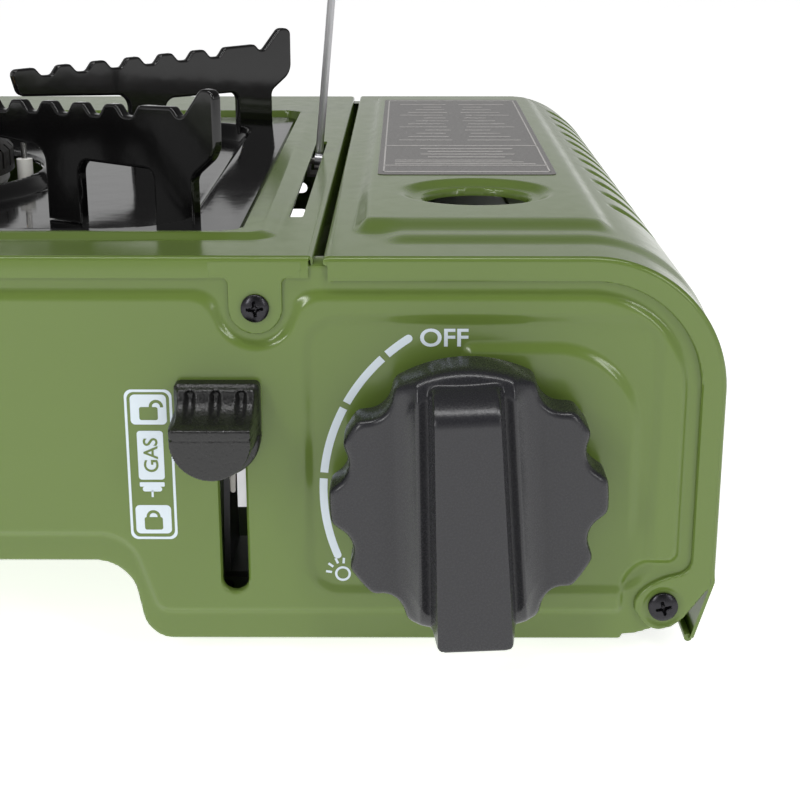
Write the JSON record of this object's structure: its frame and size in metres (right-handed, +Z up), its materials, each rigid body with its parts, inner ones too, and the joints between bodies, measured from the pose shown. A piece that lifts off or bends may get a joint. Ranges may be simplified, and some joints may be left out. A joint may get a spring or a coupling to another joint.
{
  "type": "portable butane stove",
  "caption": "Portable single-burner camping stove with a hinged canister cover, scalloped control knob, canister lever and lift-off drip pan with toothed pot supports.",
  "frame": {"origin": "on the ground under the middle of the overall box", "axes": "+X to the canister side as seen from the front, +Y to the rear, +Z up; the control panel faces -Y"},
  "size_m": [0.342, 0.304, 0.183],
  "materials": {
    "olive_paint": "semi-gloss olive green enamel",
    "black_enamel": "gloss black enamel",
    "galvanised": "bright zinc plating",
    "dark_screw": "blackened steel",
    "bright_screw": "nickel plating",
    "black_plastic": "satin charcoal moulding",
    "rubber_black": "matt rubber",
    "aluminium_cast": "die-cast, matt",
    "brass_plain": "turned brass",
    "copper_pipe": "drawn copper",
    "cast_burner": "dark heat-proof casting",
    "white_ceramic": null,
    "wire_insulation": "silicone insulation",
    "label_film": "printed film"
  },
  "bodies": {
    "housing": {"front_panel": "olive_paint", "rear_panel": "olive_paint", "base_tray": "olive_paint", "top_deck": "olive_paint", "short_rubber_feet": "rubber_black", "tall_rubber_feet": "rubber_black", "deck_screws": "dark_screw", "partition": "galvanised", "burner_support": "galvanised", "burner_bowl": "aluminium_cast", "mixing_tube": "galvanised", "burner_head": "cast_burner", "burner_cap": "brass_plain", "burner_screw": "bright_screw", "gas_jet": "brass_plain", "gas_pipe": "copper_pipe", "jet_bracket": "galvanised", "regulator_body": "aluminium_cast", "diaphragm_cap": "galvanised", "canister_guide_plate": "galvanised", "regulator_screws": "bright_screw", "canister_seal": "rubber_black", "canister_cradle": "galvanised", "heat_plate": "aluminium_cast", "piezo_igniter": "black_plastic", "electrode_ceramic": "white_ceramic", "electrode_tip": "bright_screw", "electrode_bracket": "galvanised", "ignition_wire": "wire_insulation", "cover_pivot_screws": "bright_screw", "lever_guide_rails": "galvanised", "crank_pin": "bright_screw", "crank_bracket": "galvanised", "pusher_guides": "galvanised", "stay_pin": "bright_screw", "stay_bracket": "galvanised"},
    "knob": {"control_knob": "black_plastic", "valve_spindle": "brass_plain", "igniter_cam": "black_plastic"},
    "plunger": {"piezo_plunger": "black_plastic"},
    "lever": {"fuel_lever_knob": "black_plastic", "lever_slider": "galvanised"},
    "crank": {"bell_crank": "galvanised"},
    "pusher": {"push_rod": "galvanised", "pusher_plate": "galvanised"},
    "cover": {"canister_cover": "olive_paint", "cover_label": "label_film"},
    "stay": {"wire_stay": "bright_screw"},
    "pan": {"drip_pan": "black_enamel", "pot_support_right_rear": "black_enamel", "pot_support_left_rear": "black_enamel", "pot_support_left_front": "black_enamel", "pot_support_right_front": "black_enamel"}
  },
  "joints": [
    {"name": "knob_turn", "type": "hinge", "parent": "housing", "child": "knob", "pos_m": [0.1177, -0.127, 0.0416], "axis": [0, -1, 0], "range_deg": [0, 110]},
    {"name": "igniter_plunge", "type": "slide", "parent": "housing", "child": "plunger", "axis": [-1, 0, 0], "range_m": [0, 0.0051]},
    {"name": "lever_slide", "type": "slide", "parent": "housing", "child": "lever", "axis": [0, 0, -1], "range_m": [0, 0.028]},
    {"name": "crank_turn", "type": "hinge", "parent": "housing", "child": "crank", "pos_m": [0.0669, -0.086, 0.032], "axis": [1, 0, 0], "range_deg": [0, 50.08]},
    {"name": "pusher_slide", "type": "slide", "parent": "housing", "child": "pusher", "axis": [0, -1, 0], "range_m": [0, 0.0101]},
    {"name": "cover_hinge", "type": "hinge", "parent": "housing", "child": "cover", "pos_m": [0.1603, 0.0108, 0.0119], "axis": [0, 1, 0], "range_deg": [0, 88]},
    {"name": "pan_lift", "type": "slide", "parent": "housing", "child": "pan", "axis": [0, 0, 1], "range_m": [0, 0.06]},
    {"name": "stay_fold", "type": "hinge", "parent": "housing", "child": "stay", "pos_m": [0.0788, 0.0126, 0.0874], "axis": [0.9956, 0, -0.0941], "range_deg": [0, 90]}
  ],
  "couplings": [
    {"joint": "igniter_plunge", "follows": "knob_turn", "m_per_rad": 0.0026044},
    {"joint": "crank_turn", "follows": "lever_slide", "rad_per_m": 31.188},
    {"joint": "pusher_slide", "follows": "lever_slide", "ratio": 0.35714}
  ]
}
